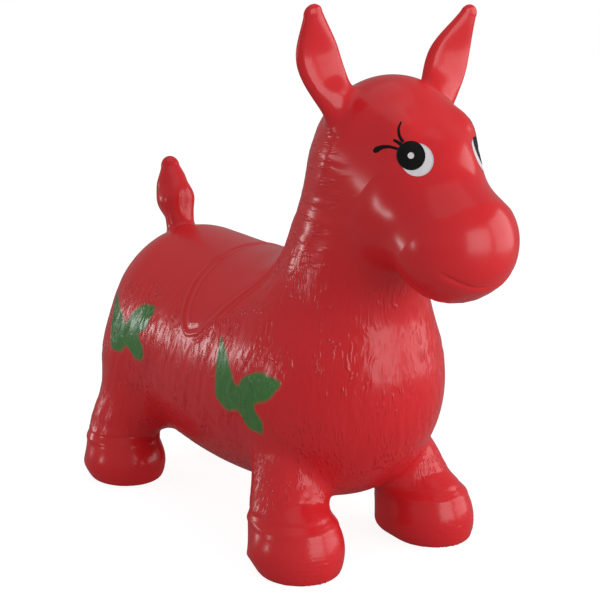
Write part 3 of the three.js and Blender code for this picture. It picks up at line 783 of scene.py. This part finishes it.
def mathed(holder, operation, a, b):
    return add_node(holder, "ShaderNodeMath", {"operation": operation}, _0=a, _1=b).outputs[0]


def vector_mathed(material, operation, **inputs):
    return add_node(material, "ShaderNodeVectorMath", {"operation": operation}, **inputs).outputs[0]


def noise(material, place, scale, detail):
    return add_node(material, "ShaderNodeTexNoise", Vector=place, Scale=scale, Detail=detail)


def mixed_colour(material, factor, first, second):
    settings = {"data_type": "RGBA"}
    return add_node(material, "ShaderNodeMix", settings, Factor=factor, _6=first, _7=second).outputs[2]


def ramped(material, value, low, high, floor=0.0, ceiling=1.0):
    settings = {"interpolation_type": "SMOOTHSTEP"}
    return add_node(
        material, "ShaderNodeMapRange", settings, Value=value, From_Min=low, From_Max=high,
        To_Min=floor, To_Max=ceiling,
    ).outputs[0]


def strokes(material, rest, stretch, scale, warp):
    """Short raised strokes: cells stretched along one axis, bent by a slow noise."""
    waves = noise(material, rest, 0.035, 2.0).outputs["Color"]
    centred = vector_mathed(material, "SUBTRACT", _0=waves, _1=(0.5, 0.5, 0.5))
    bent = vector_mathed(material, "MULTIPLY_ADD", _0=centred, _1=(warp, warp, warp), _2=rest)
    squeezed = vector_mathed(material, "MULTIPLY", _0=bent, _1=stretch)
    cells = add_node(
        material, "ShaderNodeTexVoronoi", {"feature": "SMOOTH_F1"}, Vector=squeezed, Scale=scale,
        Smoothness=0.12, Randomness=1.0,
    )
    return ramped(material, cells.outputs["Distance"], 0.56, 0.06)


def red_vinyl():
    """Glossy blown vinyl with moulded fur strokes and sprayed green."""
    material, shader = new_material(
        "red_vinyl", Specular_IOR_Level=0.42, Coat_Weight=0.04, Coat_Roughness=0.1,
    )
    rest = attribute(material, "rest_mm").outputs["Vector"]
    fur = attribute(material, "fur").outputs["Fac"]
    level = attribute(material, "fur_level").outputs["Fac"]
    spot = attribute(material, "spot").outputs["Fac"]
    upright = strokes(material, rest, (1.0, 1.0, 0.1), 0.31, 16.0)
    flat = strokes(material, rest, (0.22, 0.22, 1.0), 0.24, 8.0)
    mixed = add_node(material, "ShaderNodeMix", {"data_type": "FLOAT"}, Factor=level, _2=upright, _3=flat)
    patches = noise(material, rest, 0.03, 2.0).outputs["Fac"]
    strength = mathed(material, "MULTIPLY", fur, ramped(material, patches, 0.38, 0.6, 0.25, 1.0))
    peel = mathed(material, "MULTIPLY", noise(material, rest, 0.5, 3.0).outputs["Fac"], 0.05)
    height = mathed(material, "ADD", mixed.outputs[0], peel)
    relief_node = add_node(material, "ShaderNodeBump", Height=height, Strength=strength, Distance=0.0008)
    tone = noise(material, rest, 0.012, 3.0).outputs["Fac"]
    red = mixed_colour(material, tone, (0.62, 0.014, 0.020, 1), (0.73, 0.022, 0.028, 1))
    cloud = noise(material, rest, 0.09, 3.0).outputs["Fac"]
    green = mixed_colour(material, cloud, (0.046, 0.16, 0.036, 1), (0.066, 0.225, 0.050, 1))
    colour = mixed_colour(material, spot, red, green)
    rough = ramped(material, tone, 0.3, 0.7, 0.2, 0.26)
    links = material.node_tree.links
    links.new(colour, shader.inputs["Base Color"])
    links.new(rough, shader.inputs["Roughness"])
    links.new(relief_node.outputs[0], shader.inputs["Normal"])
    return material


def printed(name, colour, roughness):
    """Printed paint: nearly even colour with a faint grain."""
    material, shader = new_material(name, Specular_IOR_Level=0.2)
    place = add_node(material, "ShaderNodeTexCoord").outputs["Object"]
    grain = noise(material, place, 240.0, 3.0).outputs["Fac"]
    darker = tuple(c * 0.86 for c in colour[:3]) + (1,)
    rough = ramped(material, grain, 0.3, 0.7, roughness - 0.05, roughness + 0.05)
    links = material.node_tree.links
    links.new(mixed_colour(material, grain, darker, colour), shader.inputs["Base Color"])
    links.new(rough, shader.inputs["Roughness"])
    return material


RED = red_vinyl()
BLACK = printed("black_paint", (0.005, 0.005, 0.006, 1), 0.5)
WHITE = printed("white_paint", (0.80, 0.74, 0.78, 1), 0.45)
STOPPER = printed("white_plastic", (0.82, 0.80, 0.75, 1), 0.45)
SEAT = printed("red_vinyl_seat", (0.62, 0.016, 0.022, 1), 0.35)


# Pieces


def mesh_object(name, verts, faces, material, normals=None, values=None):
    """A smooth mesh piece from places in millimetres."""
    mesh = bpy.data.meshes.new(name)
    mesh.from_pydata(metres(verts).tolist(), [], faces.tolist())
    mesh.polygons.foreach_set("use_smooth", np.ones(len(faces), bool))
    for key, data in (values or {}).items():
        kind = "FLOAT_VECTOR" if data.ndim == 2 else "FLOAT"
        layer = mesh.attributes.new(key, kind, "POINT")
        layer.data.foreach_set("vector" if data.ndim == 2 else "value", data.astype(np.float32).ravel())
    if normals is not None:
        mesh.normals_split_custom_set_from_vertices(normals.tolist())
    mesh.materials.append(material)
    piece = bpy.data.objects.new(name, mesh)
    bpy.context.scene.collection.objects.link(piece)
    return piece


def zone_titles(zone):
    """Names of a zone's pieces, each with whether it is on the horse's left, or None for both sides."""
    if zone == "ear":
        return {"left_ear": True, "right_ear": False}
    if zone in ("front", "rear"):
        return {f"{zone}_left_foot": True, f"{zone}_right_foot": False}
    return {f"{zone}_skin": None}


def skin_pieces():
    """The whole skin as one mesh, then its zones as pieces that share their borders.

    The second result gives each piece's places on its borders, and all its places.
    """
    verts, quads = surface_mesh()
    verts = onto_skin(relaxed(verts, quads), 2)
    verts, quads = subdivided(verts, quads)
    verts = onto_skin(relaxed(verts, quads), 2)
    found = zone_fields(verts)
    smooth_normals = vertex_normals(verts, quads)
    neck_share = step(*NECK_FUR_RISE, verts[:, 2]) * step(-14, 10, found["torso"] - found["neck"])
    rump_share = 1 - step(*RUMP_FUR, verts[:, 0])
    level = np.maximum(neck_share, rump_share)
    fur = fur_amount(verts, found, smooth_normals[:, 2])
    fur_height = FUR_HEIGHT * (1 + NECK_FUR_GAIN * neck_share) * fur
    height = relief(verts, found) + fur_height * fur_strokes(verts, level)
    values = {"rest_mm": verts, "fur": fur, "fur_level": level, "spot": spot_amount(verts)}
    verts = verts + smooth_normals * height[:, None]
    normals = vertex_normals(verts, quads)
    stacked = np.stack([found[zone] for zone in ZONES], 1)
    zone_of = np.argmin(stacked[quads].mean(1), axis=1)
    left_of_middle = verts[quads].mean(1)[:, 1] > 0
    pieces = {}
    seams = {}
    for index, zone in enumerate(ZONES):
        for title, on_left in zone_titles(zone).items():
            pick = zone_of == index
            if on_left is not None:
                pick = pick & (left_of_middle == on_left)
            used, faces = np.unique(quads[pick], return_inverse=True)
            piece = mesh_object(
                title + "_form", verts[used], faces.reshape(-1, 4), RED, normals[used],
                {key: data[used] for key, data in values.items()},
            )
            shared = np.intersect1d(used, quads[~pick])
            pieces[title] = piece
            seams[title] = (verts[shared], verts[used])
    return pieces, seams


def ray_to_skin(starts, direction, rounds=24):
    """Places where lines from outside meet the skin."""
    points = starts.copy()
    for _ in range(rounds):
        points = points + direction * np.clip(field(points), -4, 12)[:, None] * 0.8
    return points


def printed_patch(outlines, side, lift):
    """Paint on the face: flat outlines round the eye, laid on the skin as thin closed films."""
    outward = np.array((math.cos(EYE_TURN), side * math.sin(EYE_TURN), 0))
    across = np.array((math.sin(EYE_TURN), -side * math.cos(EYE_TURN), 0))
    before_eye = np.array((EYE[0], side * EYE[1], EYE[2])) + 30 * outward
    verts = []
    faces = []
    for rows in outlines:
        flat = np.concatenate(rows)
        width = len(rows[0])
        starts = before_eye + across * flat[:, :1] + np.array((0, 0, 1)) * flat[:, 1:2]
        outer = ray_to_skin(starts, -outward)
        slope = gradient(outer, field(outer))
        slope /= np.linalg.norm(slope, axis=1, keepdims=True)
        outer = outer + slope * relief(outer, zone_fields(outer))[:, None]
        base = len(verts)
        below = len(flat)
        verts.extend(outer + slope * lift)
        verts.extend(outer - slope * FILM_DEPTH)
        closed = np.allclose(rows[0][0], rows[0][-1])
        for r in range(len(rows) - 1):
            for c in range(width - 1):
                a = base + r * width + c
                quad = [a, a + 1, a + width + 1, a + width]
                faces.append(quad)
                faces.append([i + below for i in quad[::-1]])
        if not closed:
            for r in range(len(rows) - 1):
                for c, turn in ((0, 1), (width - 1, -1)):
                    a = base + r * width + c
                    faces.append([a, a + width, a + width + below, a + below][::turn])
        for r, turn in ((0, -1), (len(rows) - 1, 1)):
            for c in range(width - 1):
                a = base + r * width + c
                faces.append([a, a + 1, a + 1 + below, a + below][::-turn])
    return np.array(verts), np.array(faces)


def disc_rows(radius_x, radius_y, middle=(0, 0), rings=8, around=48, hole=0.04):
    """Rings of a disc, from a small hole in the middle out to its edge."""
    angles = np.linspace(0, 2 * np.pi, around + 1)
    edge = np.stack([radius_x * np.cos(angles), radius_y * np.sin(angles)], 1)
    return [np.array(middle) + share * edge for share in np.linspace(hole, 1, rings)]


def stroke_rows(points, widths, steps=20):
    """A tapered stroke as rows across it."""
    rows = curve_through([(x, y, 0, w) for (x, y), w in zip(points, widths)], steps)
    tangent = np.gradient(rows[:, :2], axis=0)
    tangent /= np.linalg.norm(tangent, axis=1, keepdims=True)
    normal = np.stack([-tangent[:, 1], tangent[:, 0]], 1)
    return [rows[k, :2] + np.outer(np.linspace(-0.5, 0.5, 4), normal[k] * rows[k, 3]) for k in range(steps)]


# Places beside and above the pupil's middle, and widths
LASHES = [
    ([(-10, 5), (-19, 6.8), (-25, 5.6), (-29, 3), (-30.5, 1.6)], [2.2, 2.6, 3.6, 4.2, 2.2]),
    ([(-8, 9), (-11.5, 11.2), (-14.5, 12.8)], [2.8, 2.6, 1.8]),
    ([(-6.5, 11), (-9.4, 16), (-10, 22), (-7.8, 27.5)], [2.8, 2.4, 1.9, 1.2]),
]


def eye_pieces(side, name):
    # Outlines, lift off the skin and paint
    patches = {
        "eye_white": ([disc_rows(*EYE_WHITE_RADII, EYE_WHITE_SET)], 0.15, WHITE),
        "eye_pupil": ([disc_rows(PUPIL_RADIUS, PUPIL_RADIUS)], 0.35, BLACK),
        "eye_glint": ([disc_rows(GLINT_RADIUS, GLINT_RADIUS, rings=4, around=24)], 0.5, WHITE),
        "eyelashes": ([stroke_rows(*lash) for lash in LASHES], 0.25, BLACK),
    }
    for part, (outlines, lift, material) in patches.items():
        verts, faces = printed_patch(outlines, side, lift)
        node = f"{name}_{part}"
        piece = mesh_object(node + "_print", verts, faces, material)
        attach(piece, "skin")
        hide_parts(node)


def blend_along(piece):
    """Bake a piece's placement into its mesh; the piece is not attached to any body."""
    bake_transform(piece)


def dress():
    pieces, seams = skin_pieces()
    spots = [f"{side}_{place}_spot" for side in ("left", "right") for place in ("shoulder", "flank")]
    for zone, nodes in (
        ("torso_skin", ["torso_skin", *spots]),
        ("neck_skin", ["neck_skin"]),
        ("head_skin", ["head_skin", "muzzle_skin"]),
    ):
        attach(pieces[zone], "skin")
        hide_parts(*nodes)
    for side, name in ((1, "left"), (-1, "right")):
        for end in ("front", "rear"):
            foot = f"{end}_{name}_foot"
            blend_along(pieces[foot])
            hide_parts(f"{end}_{name}_leg", f"{end}_{name}_hoof")
        blade = f"{name}_ear"
        blend_along(pieces[blade])
        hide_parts(blade)
        eye_pieces(side, name)
    blend_along(pieces["tail_skin"])
    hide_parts("tail")
    for node, material in (("valve_seat", SEAT), ("valve_plug", STOPPER)):
        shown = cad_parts[node].data
        shown.materials.clear()
        shown.materials.append(material)


# Studio


def softbox(name, azimuth, elevation, distance, size, power):
    """A rectangular lamp at a direction from the horse, facing it."""
    a, e = math.radians(azimuth), math.radians(elevation)
    away = np.array((math.sin(a) * math.cos(e), -math.cos(a) * math.cos(e), math.sin(e)))
    lamp = bpy.data.lights.new(name, "AREA")
    lamp.shape = "RECTANGLE"
    lamp.size, lamp.size_y = size
    lamp.energy = power
    holder = bpy.data.objects.new(name, lamp)
    holder.location = away * distance + np.array((0, 0, LAMP_AIM))
    holder.rotation_euler = (math.radians(90) - e, 0, a)
    bpy.context.scene.collection.objects.link(holder)


def ray_strength(holder, plain, seen, mirrored):
    """Strength for most rays, for rays from the camera and for rays off a glossy surface."""
    path = add_node(holder, "ShaderNodeLightPath")
    camera_part = mathed(holder, "MULTIPLY", path.outputs["Is Camera Ray"], seen - plain)
    glossy_part = mathed(holder, "MULTIPLY", path.outputs["Is Glossy Ray"], mirrored - plain)
    return mathed(holder, "ADD", mathed(holder, "ADD", camera_part, glossy_part), plain)


def studio():
    world = bpy.data.worlds.new("studio")
    bpy.context.scene.world = world
    world.use_nodes = True
    tree = world.node_tree
    back = tree.nodes["Background"]
    tree.links.new(ray_strength(world, *WORLD_STRENGTH), back.inputs["Strength"])
    back.inputs["Color"].default_value = (1, 1, 1, 1)

    mesh = bpy.data.meshes.new("floor")
    corners = [(x * FLOOR_REACH, y * FLOOR_REACH, 0) for x, y in ((-1, -1), (1, -1), (1, 1), (-1, 1))]
    mesh.from_pydata(corners, [], [(0, 1, 2, 3)])
    floor = bpy.data.objects.new("floor", mesh)
    bpy.context.scene.collection.objects.link(floor)
    paper, shader = new_material(
        "floor_paper", Base_Color=(0.25, 0.25, 0.25, 1), Roughness=0.9, Specular_IOR_Level=0.1,
        Emission_Color=(1, 1, 1, 1),
    )
    paper.node_tree.links.new(ray_strength(paper, *FLOOR_STRENGTH), shader.inputs["Emission Strength"])
    mesh.materials.append(paper)

    for lamp in LAMPS:
        softbox(*lamp)


def camera():
    lens = bpy.data.cameras.new("photo_camera")
    lens.sensor_width = 36
    lens.lens = CAMERA_LENS
    holder = bpy.data.objects.new("photo_camera", lens)
    holder.location = tuple(metres(CAMERA_PLACE))
    holder.rotation_euler = (math.radians(90 - CAMERA_DOWN), 0, math.radians(CAMERA_ROUND))
    bpy.context.scene.collection.objects.link(holder)
    bpy.context.scene.camera = holder


bpy.context.scene.view_settings.view_transform = "Standard"
camera()
studio()
dress()
